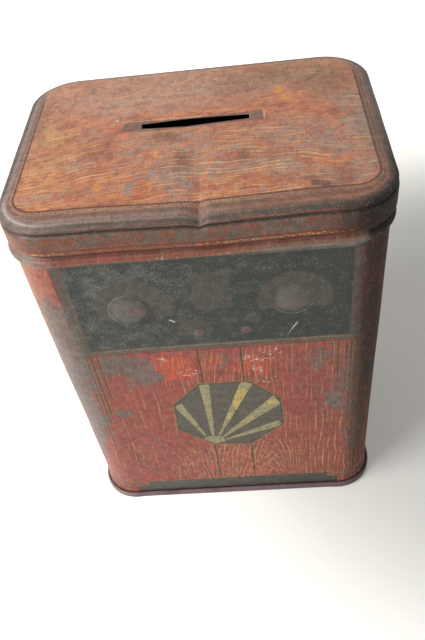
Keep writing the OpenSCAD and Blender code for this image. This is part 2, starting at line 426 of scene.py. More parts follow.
def body_section():
    """Middle of the body's sheet from its hook in the foot up over the bead to the top curl."""
    reach_r = (BEAD_OUT**2 + BEAD_H**2 / 4) / (2 * BEAD_OUT)
    crest_r = reach_r - BEAD_FILLET
    turn = math.degrees(math.asin(BEAD_H / 2 / reach_r))
    foot_out = BEAD_FILLET - HALF_TIN
    path = joined(
        [BODY_HOOK_OUT, HOOK_HIGH],
        arc([BODY_HOOK_OUT - HOOK_R, HOOK_LOW], HOOK_R, 0, -180),
        arc([foot_out, BEAD_Z - BEAD_H / 2], BEAD_FILLET, 180, 180 - turn, 5),
        arc([BEAD_OUT - HALF_TIN - crest_r, BEAD_Z], crest_r, -turn, turn, 10),
        arc([foot_out, BEAD_Z + BEAD_H / 2], BEAD_FILLET, 180 + turn, 180, 5),
        arc([-CURL_R, BODY_TOP - CURL_R], CURL_R - HALF_TIN, 0, 270),
    )
    return refined(path, lambda place: 0.6 if KNOBS_LOW < place[1] < KNOBS_HIGH else 1.6)


def flare(u):
    """How far the bottom of the two front corners is bent outwards."""
    return FLARE * bump(np.abs(u), MID_CORNER, 15)


def bowed(u, z):
    """How far the body's wall stands out of true, with its knobs."""
    height = np.clip((z - FOOT_H) / (WALL_TOP - FOOT_H), 0, 1)
    out = np.sin(math.pi * height) * sum(depth * bump(u, middle, reach) for middle, reach, depth in BOWS)
    side = onset(np.abs(u), 35, 15) * onset(-np.abs(u), -150, 25)
    spread = np.where(u < 0, SPREAD_LEFT, SPREAD_RIGHT) * side
    out += spread * (onset(z, 0, 125) * onset(-z, -136, 8) + 0.8 * bump(z, BEAD_Z, 2.6))
    out += flare(u) * onset(-z, -9, 6)
    out += smooth(4 * height) * smooth(4 * (1 - height)) * WALL_WAVE * ripple(u, z + 40)
    for across, up, radius, high in KNOBS:
        r = np.hypot(u - across, z - up) / radius
        out += high * np.clip(1 - r**2, 0, 1) ** 0.8
    return out


def seam_dips(t, z):
    """Depth of the lock seam's layers, outside and inside, at t past the middle of the back."""
    fade = onset(z, SEAM_LOW, 1.2) * onset(-z, -SEAM_HIGH, 1.5)
    deep = 3 * SEAM_LAYER
    ramp = np.clip((SEAM_HALF_W + 0.1 + SEAM_JOGGLE - t) / SEAM_JOGGLE, 0, 1)
    end_r = SEAM_LAYER + HALF_TIN
    rounded = end_r - np.sqrt(np.maximum(end_r**2 - np.maximum(t - SEAM_HALF_W + end_r, 0) ** 2, 0))
    outer = np.where(t > SEAM_HALF_W, deep * ramp, np.where(t > SEAM_HALF_W - end_r, rounded, 0))
    inner = deep * ramp * smooth((t + SEAM_HALF_W) / 0.3)
    return -outer * fade, -inner * fade


def make_body(material):
    """The body's sheet, once round from the edge of its lock seam, whose layers are dips in it."""
    run = body_stations()
    place, outward = wall_at(run[:-1])
    section = body_section()
    past_back = run[:-1] % LAP - HALF_LAP

    def skin(faces, inside):
        z = np.broadcast_to(faces[:, 1:], (len(faces), len(run) - 1))
        u = np.broadcast_to(run[None, :-1], z.shape)
        free = faces[:, 1:] > FOOT_H
        moved = bowed(u, z) + seam_dips(past_back[None], z)[int(inside)]
        out = faces[:, :1] + np.where(free, moved, flare(u))
        flat = place[None] + out[..., None] * outward[None]
        points = settled(with_third(flat, z), np.broadcast_to(faces[:, :1], z.shape))
        return points, z, np.full(z.shape, inside)

    outer, inner = faces_of(section)[::-1]
    shown, hidden = skin(outer, 0.0), skin(inner, 1.0)
    points, z, inside = (np.concatenate([a, b[::-1]]) for a, b in zip(shown, hidden))
    z, inside = closed_round(z), closed_round(inside)
    marks = {"print": np.stack([np.broadcast_to(run[None], z.shape), z, inside], -1)}
    return sheet_piece("body_shell", points, marks, material)


def base_section():
    """Middle of the base's sheet from the panel's edge, down and under the wall, to its hook."""
    wall = -TIN - HALF_TIN
    panel = BASE_RECESS + HALF_TIN
    return joined(
        arc([wall - BASE_BEND, panel - BASE_BEND], BASE_BEND, 90, 0),
        arc([wall + BASE_BEND, HALF_TIN + BASE_BEND], BASE_BEND, 180, 270),
        arc([FOOT_SKIN_OUT - BASE_BEND, HALF_TIN + BASE_BEND], BASE_BEND, -90, 0),
        arc([FOOT_SKIN_OUT - HOOK_R, HOOK_HIGH], HOOK_R, 0, 180),
        [END_HOOK_OUT, HOOK_LOW],
    )


def make_base(material):
    """The base's sheet: the panel, and the fold that is the foot."""
    run = base_stations()
    place, outward = wall_at(run[:-1])
    place = place + flare((run[:-1, None] + HALF_LAP) % LAP - HALF_LAP) * outward
    half_line = HALF_W - HALF_D
    middle = place * [half_line / HALF_W, 0]
    upper, under = faces_of(base_section())

    def skin(faces):
        rim = place + faces[0, 0] * outward
        share = np.linspace(0, 1, BASE_RINGS, endpoint=False)[:, None, None]
        flat = middle[None] * (1 - share) + rim[None] * share
        calm = 1 - onset(rounded_out(flat[..., 0], flat[..., 1]), -8, 7)
        level = faces[0, 1] + calm * (BASE_WAVE * ripple(flat[..., 0] + 30, flat[..., 1]) + BASE_SAG)
        return np.concatenate([with_third(flat, level), turned(faces, place, outward)])

    points = np.concatenate([skin(upper), skin(under)[::-1]])
    return sheet_piece("base_shell", points, {}, material, closed=False)


GLOSS = 0.32

# How far the print shakes, and how far the edges of worn patches wander
SHAKE, DRIFT = 0.3, 14

# Inputs and result of a mixing node, as it counts them for colours
MIX_SHARE, MIX_BELOW, MIX_ABOVE, MIX_RESULT = 0, 6, 7, 2


def srgb(red, green, blue):
    """A colour from its screen values, 0 to 255, as a shader takes it."""
    linear = [((c / 255 + 0.055) / 1.055) ** 2.4 if c > 10 else c / 255 / 12.92 for c in (red, green, blue)]
    return (*linear, 1)


def method_for(operation, turned=False):
    """A field's method for one operation; turned has the field as the second number."""

    def method(field, *others):
        return field.paint.maths(operation, *((*others, field) if turned else (field, *others)))
    return method


class Field:
    """A number or a colour that varies over a surface: a shader socket that works like a number."""

    def __init__(self, paint, socket):
        self.paint, self.socket = paint, socket

    __add__, __radd__ = method_for("ADD"), method_for("ADD", True)
    __sub__, __rsub__ = method_for("SUBTRACT"), method_for("SUBTRACT", True)
    __mul__, __rmul__ = method_for("MULTIPLY"), method_for("MULTIPLY", True)
    __pow__, __abs__ = method_for("POWER"), method_for("ABSOLUTE")
    least, most = method_for("MINIMUM"), method_for("MAXIMUM")

    def __truediv__(self, number):
        return self * (1 / number)

    def to_nearest(self, pitch):
        """Distance to the nearest whole multiple of the pitch."""
        return self.paint.maths("PINGPONG", self, pitch / 2)

    def rise(self, low, high):
        """0 up to low and 1 from high on. The other way about it falls from 1 to 0."""
        node = self.paint.node("ShaderNodeMapRange", interpolation_type="SMOOTHSTEP")
        return self.paint.made(node, (self, low, high))

    def near(self, value, half, blur=0.1):
        """1 within half of the value, with a soft edge."""
        return abs(self - value).rise(half + blur, max(half - blur, 0))


class Paint:
    """The nodes of one material or of the world, as fields, and a colour built up in coats."""

    def __init__(self, owner, colour=None):
        owner.use_nodes = True
        self.owner, self.tree, self.colour = owner, owner.node_tree, colour

    def node(self, kind, **settings):
        node = self.tree.nodes.new(kind)
        for key, value in settings.items():
            setattr(node, key, value)
        return node

    def feed(self, socket, value):
        if isinstance(value, Field):
            self.tree.links.new(value.socket, socket)
        else:
            socket.default_value = value

    def made(self, node, values, output=0):
        for socket, value in zip(node.inputs, values):
            self.feed(socket, value)
        return Field(self, node.outputs[output])

    def maths(self, operation, *values):
        return self.made(self.node("ShaderNodeMath", operation=operation), values)

    def vector(self, x, y, z=0.0):
        return self.made(self.node("ShaderNodeCombineXYZ"), (x, y, z))

    def mark(self, name):
        """The three numbers of a mark on the mesh."""
        return self.parts(self.node("ShaderNodeAttribute", attribute_name=name).outputs["Vector"])

    def parts(self, socket):
        """The three numbers of a vector."""
        split = self.node("ShaderNodeSeparateXYZ")
        self.tree.links.new(socket, split.inputs[0])
        return [Field(self, part) for part in split.outputs]

    def noise(self, x, y, z=0.0, detail=2.0, roughness=0.5):
        """Noise from 0 to 1, mostly near 0.5, with swells about one unit across."""
        node = self.node("ShaderNodeTexNoise")
        self.feed(node.inputs["Vector"], self.vector(x, y, z))
        for key, value in {"Scale": 1.0, "Detail": detail, "Roughness": roughness}.items():
            node.inputs[key].default_value = value
        return Field(self, node.outputs[0])

    def grit(self, x, y, seed, across, up=None):
        """Grains of a size, spread evenly from 0 to 1."""
        return self.noise(x / across, y / (up or across), seed, detail=4, roughness=0.65).rise(0.32, 0.68)

    def over(self, below, *layers):
        """A colour with others laid on it, each (colour, share)."""
        for above, share in layers:
            node = self.node("ShaderNodeMix", data_type="RGBA")
            for index, value in {MIX_SHARE: share, MIX_BELOW: below, MIX_ABOVE: above}.items():
                self.feed(node.inputs[index], value)
            below = Field(self, node.outputs[MIX_RESULT])
        return below

    def coat(self, above, share):
        """Lays a colour on the one there is."""
        self.colour = self.over(self.colour, (above, share))

    def shade(self, values):
        """Sets inputs of the shader by their names."""
        shader = self.tree.nodes["Principled BSDF"]
        for key, value in values.items():
            self.feed(shader.inputs[key], value)

    def finish(self, roughness, height, metal):
        """Sets the shader. Height is in millimetres."""
        bump = self.node("ShaderNodeBump")
        bump.inputs["Distance"].default_value = MM
        self.feed(bump.inputs["Height"], height)
        self.shade({
            "Base Color": self.colour, "Roughness": roughness, "Metallic": metal, "Specular IOR Level": GLOSS,
            "Normal": Field(self, bump.outputs["Normal"]),
        })
        return self.owner

    def seen(self):
        """1 for rays of the camera, reflections and glass, and 0 for those that light the scene."""
        path = self.node("ShaderNodeLightPath")
        camera, glossy, glass = (
            Field(self, path.outputs[f"Is {kind} Ray"]) for kind in ("Camera", "Glossy", "Transmission")
        )
        return camera.most(glossy).most(glass)


class Print(Paint):
    """A printed sheet, with shapes at places on it in millimetres: x across and y up."""

    def lay(self, x, y):
        """Sets the place of each point, a little unsteady as print is, and a loose one for wear."""
        shake = SHAKE * (self.noise(x / 1.2, y / 1.2, 9, detail=1) - 0.5)
        self.at, self.x, self.y = (x, y), x + shake, y + shake
        self.place = self.vector(self.x, self.y, 1.0)
        drift = [self.noise(x / 6, y / 6, seed, detail=4, roughness=0.65) - 0.5 for seed in (10, 11)]
        self.loose = self.vector(x + DRIFT * drift[0], y + DRIFT * drift[1], 1.0)

    def dust(self, seed, across, up=None):
        """Grains of a size at the print's own places."""
        return self.grit(*self.at, seed, across, up)

    def spot(self, x, y, across, up=None, blur=0.35, place=None):
        """An ellipse with a soft edge."""
        up = up or across
        node = self.node("ShaderNodeVectorMath", operation="MULTIPLY_ADD")
        scale, shift = (1 / across, 1 / up, 0), (-x / across, -y / up, 0)
        scaled = self.made(node, (place or self.place, scale, shift))
        reach = self.made(self.node("ShaderNodeVectorMath", operation="LENGTH"), (scaled,), "Value")
        return reach.rise(1 + blur, 1 - blur)

    def disc(self, x, y, radius, blur=0.12):
        return self.spot(x, y, radius, blur=blur / radius)

    def ring(self, x, y, radius, half):
        return self.disc(x, y, radius + half) - self.disc(x, y, radius - half)

    def patches(self, places, place=None):
        """The strongest of several loose patches, each (x, y, across, up, strength)."""
        found = 0.0
        for x, y, across, up, strength in places:
            patch = self.spot(x, y, across, up, 0.5, place or self.loose) * strength
            found = patch.most(found)
        return found

    def marks(self, places):
        """The strongest of several patches that lie just where they are given."""
        return self.patches(places, self.place).least(1)

    def left_of(self, a, b):
        """Distance to the left of the line from a to b."""
        across = ((a[1] - b[1]) / math.dist(a, b), (b[0] - a[0]) / math.dist(a, b))
        node = self.node("ShaderNodeVectorMath", operation="DOT_PRODUCT")
        return self.made(node, (self.place, (*across, -across[0] * a[0] - across[1] * a[1])), "Value")

    def within(self, corners):
        """Distance inside a convex shape, whose corners run anticlockwise."""
        inside, *others = [self.left_of(a, b) for a, b in zip(corners, corners[1:] + corners[:1])]
        for side in others:
            inside = inside.least(side)
        return inside

    def block(self, left, right, low, high, blur=0.12, end_blur=None):
        """A rectangle."""
        across = self.x.near((left + right) / 2, (right - left) / 2, blur)
        return across * self.y.near((low + high) / 2, (high - low) / 2, end_blur or blur)

    def upright(self, x, low, high, half=0.2):
        """A thin vertical line."""
        return self.block(x - half, x + half, low, high, 0.14, 0.3)

    def scratch(self, a, b, half):
        """A thin line from a to b."""
        middle = ((a[0] + b[0]) / 2, (a[1] + b[1]) / 2)
        square = (middle[0] - (b[1] - a[1]), middle[1] + (b[0] - a[0]))
        along = self.left_of(middle, square).near(0, math.dist(a, b) / 2, 0.3)
        return self.left_of(a, b).near(0, half, 0.12) * along

    def grain(self, across, along, pitch, half, seed, more=0.0, reach=9):
        """Broken lines along the wood's grain, faint in some places and bright in others."""
        wave = across + 1.6 * pitch * self.noise(across / 4, along / 18, seed, detail=1)
        kept = self.noise(across / (0.8 * pitch), along / reach, seed + 3) + more
        shape = wave.to_nearest(pitch).rise(half + 0.13, half - 0.06)
        return shape * (0.55 * kept.rise(0.46, 0.54) + 0.45 * kept.rise(0.58, 0.66))


# Colours of the print, of what lies under it and of dirt
RED = srgb(196, 92, 78)
RED_DEEP = srgb(143, 70, 62)
RED_BRIGHT = srgb(222, 94, 62)
RED_DULL = srgb(122, 88, 78)
ORANGE = srgb(222, 138, 94)
ORANGE_RED = srgb(184, 106, 78)
ORANGE_DULL = srgb(176, 110, 80)
ORANGE_SPOT = srgb(236, 156, 84)
RED_BROWN = srgb(152, 82, 58)
SKIRT_BROWN = srgb(134, 82, 62)
SKIRT_ORANGE = srgb(168, 86, 54)
PINK = srgb(206, 162, 138)
ROSE = srgb(166, 104, 94)
BROWN = srgb(120, 78, 58)
OLIVE = srgb(154, 134, 94)
OLIVE_DARK = srgb(120, 100, 72)
UMBER = srgb(60, 46, 38)
BLACK_BROWN = srgb(26, 19, 16)
MAUVE = srgb(130, 98, 88)
TAN_GREY = srgb(188, 154, 128)
TAN = srgb(226, 178, 120)
STRAW = srgb(246, 210, 142)
OLD_GOLD = srgb(150, 124, 84)
GREY_TIN = srgb(162, 155, 144)
BLUE_TIN = srgb(128, 136, 138)
# Pale worn tin, also used for painted highlights on the lid's roll and the foot's left
PALE_TIN_AND_HIGHLIGHT = srgb(158, 146, 138)
# White of the painted highlight at the lid's left front corner
HIGHLIGHT_WHITE = srgb(196, 186, 182)
OLIVE_TIN = srgb(98, 92, 78)
# Dark worn tin, also the painted shade on the roll's underside
DARK_TIN_AND_SHADE = srgb(74, 66, 56)
WHITE_CHIP = srgb(240, 232, 220)
YELLOW_CHIP = srgb(246, 190, 90)
PANEL_GREEN = srgb(42, 50, 48)
PANEL_SPECK = srgb(108, 110, 102)
DIAL_BROWN = srgb(84, 80, 72)
KNOB_GREY = srgb(112, 106, 100)
OCTAGON_DARK = srgb(86, 85, 75)
OCTAGON_LIGHT = srgb(106, 100, 86)
GOLD = srgb(182, 173, 130)
GOLD_BRIGHT = srgb(226, 200, 118)
LINE_BLACK = srgb(54, 42, 36)
LINE_BROWN = srgb(92, 60, 48)
PLINTH_LEFT = srgb(88, 95, 87)
PLINTH_RIGHT = srgb(64, 71, 64)
FOOT_PURPLE = srgb(136, 104, 114)
WEAR_GREY = srgb(114, 108, 97)
WEAR_DARK = srgb(86, 84, 74)
KNOB_PINK = srgb(158, 120, 114)
# Dark grey of the painted shade on the body's right corner
EDGE_GREY = srgb(46, 40, 35)
FOOT_DARK = srgb(74, 68, 74)
BARE_TIN = srgb(168, 165, 158)
RUST = srgb(120, 74, 44)


def worn(grit, amount, soft=0.15):
    """Where the print is gone: nowhere at amount 0, and half of the grains at 0.5."""
    return (grit + amount * (1 + soft)).rise(1, 1 + soft)


def bare_face(paint, x, y, seed):
    """Colour of the unprinted face: dull tin with a little rust."""
    rust = paint.noise(x / 14, y / 14, seed, detail=5, roughness=0.6).rise(0.54, 0.66)
    return paint.over(BARE_TIN, (RUST, rust * 0.5), (BLUE_TIN, paint.grit(x, y, seed, 3) * 0.5))


def mottled(paint):
    """The fine unevenness of old print: specks of dirt and places where the ink has paled."""
    fine, wide = paint.dust(61, 0.5), paint.dust(62, 2.6)
    paint.coat(UMBER, (0.6 * fine + 0.5 * wide).rise(0.45, 1) * 0.5)
    paint.coat(GREY_TIN, (0.7 * fine + 0.4 * wide).rise(0.42, 0) * 0.45)


def finished(paint, inside, smoothest, uneven, painted_shade):
    """The bare tin of the inner face, and the shader of a printed sheet, rougher where shade is painted."""
    paint.coat(bare_face(paint, *paint.at, 50), inside)
    grit = paint.dust(60, 0.8)
    return paint.finish(smoothest + uneven * grit + 0.35 * painted_shade, grit * 0.012, 0.7 * inside)


# Places of patches on the body, each (run, height, across, up, strength)
BRIGHTENED = [
    (-14.5, 84, 8, 8, 0.75), (-3, 86, 4, 6, 0.5), (12, 82, 7, 6, 0.6), (-27, 50, 8, 8, 0.3),
    (-30, 12, 12, 6, 0.45), (5, 24, 5, 9, 0.5), (-12, 10, 8, 6, 0.35), (24, 72, 8, 10, 0.2),
    (2, 20, 22, 14, 0.45),
]
PALED = [(0, 22, 28, 16, 0.45), (-30, 30, 14, 20, 0.25), (-16, 60, 8, 10, 0.2)]
FADED = [(-52, 118, 9, 18, 0.9), (-53, 84, 4, 18, 0.4)]
BRIGHT_RAYS = [(6.4, 63, 3, 8, 0.9), (16, 61.5, 4, 2.6, 0.6), (9, 51, 4, 3, 0.4), (2, 53, 2, 4, 0.5)]
RUSTED = [(-31, 115, 3, 5, 0.3), (25, 122, 7, 2.4, 0.3)]
BLUSHED = [(-21.4, 112.2, 2.2, 2.6, 1), (-26.5, 116, 1.6, 1.2, 0.4), (26.5, 111.6, 2.8, 2.2, 0.3)]
GREYED = [
    (-32, 87, 9, 6, 0.8), (-26, 82, 8, 9, 0.55), (-36.5, 60.3, 2, 2, 0.9), (-48, 92, 6, 30, 0.9),
    (-49.5, 64, 6, 24, 0.9), (-51, 42, 4, 14, 0.45), (3, 86, 4, 5, 0.25), (41, 66, 6, 12, 0.45),
    (32, 84, 9, 8, 0.3), (22, 20, 7, 4, 0.25), (-12, 92, 6, 2, 0.4), (-30, 40, 8, 10, 0.12),
    (48, 60, 6, 50, 0.4), (26, 70, 4, 4, 0.3), (0, 90, 30, 2, 0.2),
]
CHIPPED = [
    (-16.5, 89, 2, 1, 0.9), (-11, 81, 5, 3, 0.55), (-19, 79, 3, 1.4, 0.6), (12, 86.5, 6, 1.6, 0.75),
    (18, 89.5, 3, 1, 0.7), (12, 81, 3, 1.4, 0.8), (15, 74.6, 4, 1, 0.75), (-2, 134, 22, 0.6, 0.7),
    (-26, 80, 3, 1, 0.5),
]

# Boards of the body, and the reeds by its corners, each (run, lowest height)
BOARD = 14
MIDDLE_BOARD = (-5.5, 8.5)
JOINTS = ((74, 93), (11, 35))
POINT_X, POINT_TOP = 16.5, 37
REEDS = [
    (-43.5, 38), (-42.1, 55), (-40.7, 60), (-38.6, 70), (-36.5, 80),
    (38.2, 80), (40.2, 74), (42.8, 66), (44.4, 40), (46.4, 24), (48.8, 12),
]
REEDS_TOP = 92


def body_wood(paint, u, v):
    """Upright boards in red, with tan grain that rises to a point low on the right board."""
    lean = 3 * paint.noise(u / 11, v / 40, 1, detail=1)
    middle = u.near(sum(MIDDLE_BOARD) / 2, BOARD / 2)
    beside = ((u - POINT_X) ** 2 + 2) ** 0.5
    below = (POINT_TOP - v).most(0) * u.rise(8.4, 8.6) * beside.rise(12, 3)
    across = u + lean - 0.15 * v * middle + (beside - 0.28 * below - u) * below.rise(0, 0.5)
    streak = paint.grit(across, v, 2, 0.8, 12)
    paint.coat(RED, 0.6 * streak + 0.4 * paint.dust(7, 7, 10))
    dull = 0.24 + 0.2 * u.rise(20, 34) * v.rise(30, 60) + 0.1 * u.rise(-24, -34)
    paint.coat(RED_DULL, worn(paint.dust(3, 1.2, 2), dull, 0.5) * 0.8)
    bright = worn(0.5 * streak + 0.5 * paint.dust(8, 1.2, 2.2), paint.patches(BRIGHTENED), 0.35)
    paint.coat(RED_BRIGHT, bright * 0.8)
    paint.coat(PINK, worn(paint.dust(11, 1, 3), paint.patches(PALED), 0.6) * 0.5)
    more = 0.04 * u.rise(-20, 6) - 0.06 * u.rise(-8, -22) + 0.05 * abs(u).rise(50, 62)
    more = more + 0.08 * v.rise(46, 30) * u.rise(-10, 4) - 0.06 * u.rise(18, 26) * v.rise(44, 60)
    paint.coat(OLD_GOLD, paint.grain(across, v, 1.15, 0.07, 15, more) * 0.7)
    paint.coat(TAN, paint.grain(across, v, 1.9, 0.1, 5, more) * 0.9)
    paint.coat(ORANGE_DULL, worn(paint.dust(9, 1, 5), paint.patches(FADED), 0.6) * 0.7)


def mouldings(paint, u, v):
    """Fine dark and gold lines: the joints between boards, and reeding by the corners."""
    boards = abs(u).rise(63, 63.2) * v.rise(11, 11.5) * v.rise(131, 130)
    dark = u.to_nearest(BOARD).rise(0.3, 0.05) * boards
    gold = (u - 0.45).to_nearest(BOARD).rise(0.3, 0.05) * boards * 0.7
    for x in MIDDLE_BOARD:
        for low, high in JOINTS:
            dark = dark.most(paint.upright(x, low, high, 0.24))
            gold = gold.most(paint.upright(x + 0.55, low, high, 0.18))
    for x, low in REEDS:
        dark = dark.most(paint.upright(x, low, REEDS_TOP))
        gold = gold.most(paint.upright(x + 0.5, low, REEDS_TOP))
    paint.coat(LINE_BLACK, dark * 0.9)
    paint.coat(OLD_GOLD, gold * 0.9)


# Corners of the sunburst's frame, its hub and its rays
OCTAGON = [
    (-5.9, 36.3), (8.2, 35.1), (21.1, 47.3), (20.5, 63.1),
    (10.2, 73.9), (-7.2, 73.8), (-17.4, 63), (-17.8, 47.4),
]
RAYS = [
    [(-9.6, 37.5), (-5.4, 35.6), (-1.2, 37.4), (-1.6, 40.4), (-3.6, 41.6), (-7.4, 41.6), (-9.2, 40.2)],
    [(-17.4, 61.6), (-8.9, 42), (-8, 42), (-14.7, 63.6)],
    [(-7.3, 74.2), (-6.1, 42), (-5, 42), (-3.6, 74.2)],
    [(7.3, 74.2), (-3.5, 42), (-2.6, 42), (11.4, 72.8)],
    [(18.2, 65.2), (-1.8, 41.2), (-1.1, 40.4), (20.6, 60)],
    [(19.4, 49.6), (-0.8, 39.2), (-0.3, 38.4), (20.8, 46)],
]


def sunburst(paint):
    """The eight-sided grille cloth, with rays from a hub low on its left."""
    inside = paint.within(OCTAGON)
    mottle, cloud, fade = (
        paint.grit(paint.x, paint.y, *size) for size in ((20, 0.9), (22, 5), (21, 1.2, 1.6))
    )
    paint.coat(OLD_GOLD, inside.rise(-0.85, -0.6) * (0.4 + 0.6 * mottle))
    paint.coat(LINE_BLACK, inside.rise(-0.2, 0))
    ground = paint.over(OCTAGON_DARK, (OCTAGON_LIGHT, 0.5 * mottle + 0.5 * cloud))
    paint.coat(ground, inside.rise(0.1, 0.35))
    rays = 0.0
    for ray in RAYS:
        rays = paint.within(ray).rise(-0.1, 0.15).most(rays)
    bright, dull = worn(mottle, paint.marks(BRIGHT_RAYS), 0.4), worn(fade, 0.32, 0.5)
    gold = paint.over(GOLD, (GOLD_BRIGHT, bright), (OLIVE_TIN, dull * 0.55))
    paint.coat(gold, rays * inside.rise(0.15, 0.35))


# The control panel: rectangles are (left, right, low, high), and discs (run, height, radius)
FRAME_SIDES = (-43.2, 46.4)
FRAME_LOW, FRAME_HIGH = 93.2, 132.8
SILL_HIGH = 95.6
PANEL = (-40, 43.4, 95.4, 132.8)
PLATE = (-4, 7.75, 111.2, 126.5)
DIALS = [(-22.3, 114.3, 11.5), (26.7, 112.9, 11.3)]
DIALS_LOW = 109.3
DIAL_FEET = [(-33.7, -10.9, 109.4, 114), (15.5, 37.9, 109.4, 112.6)]
FAN, FAN_LOW = (-5, 101.5, 5.6), 99.8
SMALL_BLOCK, SMALL_DISC = (3.6, 8.2, 104.5, 107), (13.6, 106, 2.3)
LEFT_KNOB, RIGHT_KNOB = (-23.9, 113.1), (26, 113.1)
KNOB_SHADE = (-22.8, 112, 6.2)
SMALL_KNOBS = [(-3.8, 100.8, 1.7), (11.2, 100.8, 1.7)]
LONG_SCRATCH = [(27.2, 102.6), (25.4, 99.6), (23.8, 96.8)]
SHORT_SCRATCH = [(-12.2, 107.6), (-10.6, 106.3)]


def control_panel(paint, u, v):
    """The dark panel in its frame, with two dials, a blank plate, knobs and small fittings."""
    cloud, fine = paint.dust(31, 5), paint.dust(30, 0.5)
    frame_share = paint.block(*FRAME_SIDES, FRAME_LOW, FRAME_HIGH)
    paint.coat(WEAR_DARK, frame_share * (0.85 + 0.12 * paint.dust(32, 1.2, 3)))
    paint.coat(ROSE, frame_share * worn(paint.dust(33, 0.9, 4), 0.24, 0.4) * 0.45)
    paint.coat(OLIVE_TIN, paint.block(*FRAME_SIDES, FRAME_LOW, SILL_HIGH) * 0.6)
    density = 0.03 + 0.34 * u.rise(42, -38) + 0.4 * (cloud - 0.5) + 0.1 * v.rise(105, 128)
    shapes = paint.disc(*DIALS[0]).most(paint.disc(*DIALS[1])) * v.rise(DIALS_LOW, DIALS_LOW + 0.3)
    for rectangle in (*DIAL_FEET, PLATE, SMALL_BLOCK):
        shapes = shapes.most(paint.block(*rectangle))
    shapes = shapes.most(paint.disc(*FAN) * v.rise(FAN_LOW, FAN_LOW + 0.3)).most(paint.disc(*SMALL_DISC))
    knobs = paint.disc(*LEFT_KNOB, 5, 0.9).most(paint.disc(*RIGHT_KNOB, 5, 1.1))
    small = paint.disc(*SMALL_KNOBS[0]).most(paint.disc(*SMALL_KNOBS[1]))
    rings = paint.ring(*LEFT_KNOB, 6.2, 0.2) * u.rise(-20, -26)
    rings = rings + paint.ring(*RIGHT_KNOB, 6.4, 0.16) * v.rise(112, 108)
    # Painted shadow on the right of the left knob
    crescent = (paint.disc(*KNOB_SHADE) - paint.disc(*LEFT_KNOB, 5.4)).most(0)
    scratches = paint.scratch(*LONG_SCRATCH[:2], 0.26).most(paint.scratch(*LONG_SCRATCH[1:], 0.14) * fine)
    scratches = scratches.most(paint.scratch(*SHORT_SCRATCH, 0.26))
    panel = paint.over(
        PANEL_GREEN, (PANEL_SPECK, worn(fine, density, 0.5)),
        (DIAL_BROWN, shapes * (0.6 + 0.3 * cloud)),
        (BROWN, worn(fine, paint.patches(RUSTED), 0.4) * 0.6),
        (KNOB_GREY, knobs * (0.4 + 0.5 * fine)), (KNOB_PINK, small * (0.1 + 0.6 * fine)),
        (GREY_TIN, rings * (0.3 + 0.4 * fine)), (BLACK_BROWN, crescent * 0.6),
        (KNOB_PINK, paint.patches(BLUSHED) * knobs * (0.3 + 0.5 * fine)),
        (WHITE_CHIP, scratches * (0.5 + 0.5 * fine)),
    )
    paint.coat(panel, paint.block(*PANEL, 0.2))
    paint.coat(OLD_GOLD, paint.block(-40, 44, 94.4, 95) * (0.3 + 0.7 * cloud))
    # Black print lines round the panel, and a band along its top that is painted shade under the bead
    lines = paint.block(-43.4, 46.6, 92.5, 92.9).most(paint.block(-43.4, 46.6, 131.4, 133, 0.5) * 0.6)
    for side in (-43.4, 46.7):
        lines = lines.most(paint.upright(side, 92.7, 132))
    paint.coat(LINE_BLACK, lines * 0.8)


# The plinth's bands, each (middle height, half its height), and heights of the lines round it
BAND, LOW_BAND = (6.6, 3.9), (5.1, 2.4)
PLINTH_LINES = (10.4, 9.1, 7.9, 5.6)


def plinth(paint, u, v):
    """The dark band along the bottom, with red ends and stepped lines round the corners."""
    band = v.near(*BAND) * abs(u - 1).rise(37.2, 36.6).most(abs(u).rise(66, 67))
    dark = band.most(v.near(*LOW_BAND) * abs(u - 0.8).rise(41.6, 41.2))
    around = abs(u).near(52, 15, 0.5) * (1 - dark)
    for height in PLINTH_LINES:
        paint.coat(LINE_BLACK, around * v.near(height, 0.22) * 0.85)
        paint.coat(TAN_GREY, around * v.near(height - 0.5, 0.2) * 0.6)
    green = paint.over(PLINTH_LEFT, (PLINTH_RIGHT, 0.8 * u.rise(-40, 45) + 0.2 * paint.dust(41, 3)))
    paint.coat(green, dark * 0.95)
    paint.coat(TAN, v.near(10.6, 0.16) * worn(paint.dust(40, 1, 0.5), 0.35) * 0.8)
    paint.coat(LINE_BLACK, v.rise(3.5, 3.1) * 0.7)


# Run of the front corners, and heights of the bead's worn bands and of the painted shadow line over it, under
# the lid's skirt
CORNER_RUN = 52
BEAD_FOOT, BEAD_CREST, BEAD_HEAD, SHADE_LINE = 133.4, 134.1, 135, 137.6


